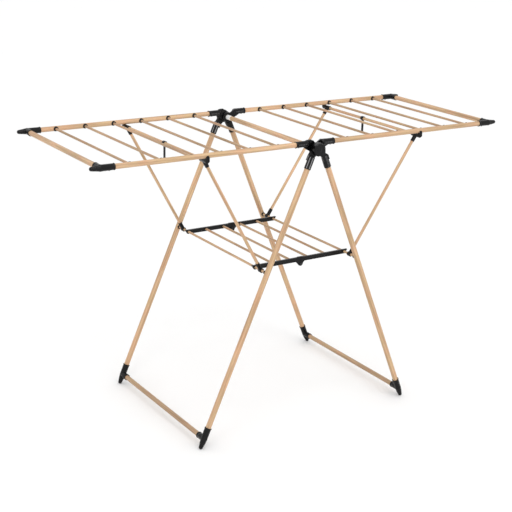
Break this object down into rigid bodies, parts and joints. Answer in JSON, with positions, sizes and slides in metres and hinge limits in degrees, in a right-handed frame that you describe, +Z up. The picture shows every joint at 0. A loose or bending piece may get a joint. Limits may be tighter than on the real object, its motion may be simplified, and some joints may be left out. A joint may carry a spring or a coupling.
{
  "type": "clothes drying rack",
  "caption": "Folding gull-wing clothes airer with crossed tubular legs, two rung wings on swinging props, a folding centre shelf and moulded joints.",
  "frame": {"origin": "on the floor under the centre of the opened rack", "axes": "+X along the wings towards the right wing, +Y towards the far side, +Z up"},
  "size_m": [1.531, 0.5936, 0.9595],
  "materials": {
    "wood_grain_tube": "steel tube with a matt light-oak wood-grain coating",
    "black_plastic": "satin moulded black plastic",
    "pale_plastic": "pale moulded plastic bush",
    "steel_pin": "plain steel pin"
  },
  "bodies": {
    "leg_frame_a": {"cross_bushes": "pale_plastic", "cross_tube": "wood_grain_tube", "foot_a_far": "black_plastic", "foot_a_near": "black_plastic", "foot_bar_a": "wood_grain_tube", "leg_hub_a_far": "black_plastic", "leg_hub_a_near": "black_plastic", "leg_tube_a_far": "wood_grain_tube", "leg_tube_a_near": "wood_grain_tube", "pivot_pins": "steel_pin", "rod_grommets_a": "black_plastic", "shelf_rod_a": "wood_grain_tube"},
    "leg_frame_b": {"foot_b_far": "black_plastic", "foot_b_near": "black_plastic", "foot_bar_b": "wood_grain_tube", "leg_hub_b_far": "black_plastic", "leg_hub_b_near": "black_plastic", "leg_tube_b_far": "wood_grain_tube", "leg_tube_b_near": "wood_grain_tube", "rod_grommets_b": "black_plastic", "shelf_stubs_b": "wood_grain_tube"},
    "shelf_half_a": {"shelf_rail_a_far": "black_plastic", "shelf_rail_a_near": "black_plastic", "shelf_rungs_a": "wood_grain_tube"},
    "shelf_half_b": {"shelf_pins": "steel_pin", "shelf_rail_b_far": "black_plastic", "shelf_rail_b_near": "black_plastic", "shelf_rungs_b": "wood_grain_tube"},
    "wing_left": {"rung_grommets_left": "black_plastic", "rungs_left": "wood_grain_tube", "wing_corner_left_far": "black_plastic", "wing_corner_left_near": "black_plastic", "wing_end_tube_left": "wood_grain_tube", "wing_socket_left_far": "black_plastic", "wing_socket_left_near": "black_plastic", "wing_tube_left_far": "wood_grain_tube", "wing_tube_left_near": "wood_grain_tube"},
    "prop_left": {"prop_bar_left": "wood_grain_tube", "prop_cradle_left_far": "black_plastic", "prop_cradle_left_near": "black_plastic", "prop_sleeves_left": "black_plastic", "prop_tube_left_far": "wood_grain_tube", "prop_tube_left_near": "wood_grain_tube"},
    "latch_left": {"prop_latch_left": "black_plastic"},
    "wing_right": {"rung_grommets_right": "black_plastic", "rungs_right": "wood_grain_tube", "wing_corner_right_far": "black_plastic", "wing_corner_right_near": "black_plastic", "wing_end_tube_right": "wood_grain_tube", "wing_socket_right_far": "black_plastic", "wing_socket_right_near": "black_plastic", "wing_tube_right_far": "wood_grain_tube", "wing_tube_right_near": "wood_grain_tube"},
    "prop_right": {"prop_bar_right": "wood_grain_tube", "prop_cradle_right_far": "black_plastic", "prop_cradle_right_near": "black_plastic", "prop_sleeves_right": "black_plastic", "prop_tube_right_far": "wood_grain_tube", "prop_tube_right_near": "wood_grain_tube"},
    "latch_right": {"prop_latch_right": "black_plastic"}
  },
  "joints": [
    {"name": "leg_fold", "type": "hinge", "parent": "leg_frame_a", "child": "leg_frame_b", "pos_m": [0, 0, 0.93], "axis": [0, 1, 0], "range_deg": [0, 46]},
    {"name": "shelf_a_fold", "type": "hinge", "parent": "leg_frame_a", "child": "shelf_half_a", "pos_m": [-0.17509, 0, 0.5505], "axis": [0, -1, 0], "range_deg": [0, 68]},
    {"name": "shelf_b_fold", "type": "hinge", "parent": "shelf_half_a", "child": "shelf_half_b", "pos_m": [0, 0, 0.535], "axis": [0, 1, 0], "range_deg": [0, 182]},
    {"name": "wing_left_fold", "type": "hinge", "parent": "leg_frame_a", "child": "wing_left", "pos_m": [0, 0, 0.93], "axis": [0, -1, 0], "range_deg": [0, 65]},
    {"name": "prop_left_fold", "type": "hinge", "parent": "leg_frame_a", "child": "prop_left", "pos_m": [-0.17509, 0, 0.5505], "axis": [0, -1, 0], "range_deg": [0, 128]},
    {"name": "wing_right_fold", "type": "hinge", "parent": "leg_frame_b", "child": "wing_right", "pos_m": [0, 0, 0.93], "axis": [0, 1, 0], "range_deg": [0, 65]},
    {"name": "prop_right_fold", "type": "hinge", "parent": "leg_frame_b", "child": "prop_right", "pos_m": [0.17509, 0, 0.5505], "axis": [0, 1, 0], "range_deg": [0, 124.3]},
    {"name": "latch_left_swing", "type": "hinge", "parent": "prop_left", "child": "latch_left", "pos_m": [-0.39, -0.007, 0.9302], "axis": [0, -1, 0], "range_deg": [-8, 40]},
    {"name": "latch_right_swing", "type": "hinge", "parent": "prop_right", "child": "latch_right", "pos_m": [0.424, 0.038, 0.9302], "axis": [0, 1, 0], "range_deg": [-8, 40]}
  ],
  "couplings": [
    {"joint": "shelf_a_fold", "follows": "leg_fold", "ratio": 1.4752},
    {"joint": "shelf_b_fold", "follows": "leg_fold", "ratio": 3.95},
    {"joint": "prop_left_fold", "follows": "wing_left_fold", "ratio": 1.9614},
    {"joint": "prop_right_fold", "follows": "wing_right_fold", "ratio": 1.9039}
  ]
}
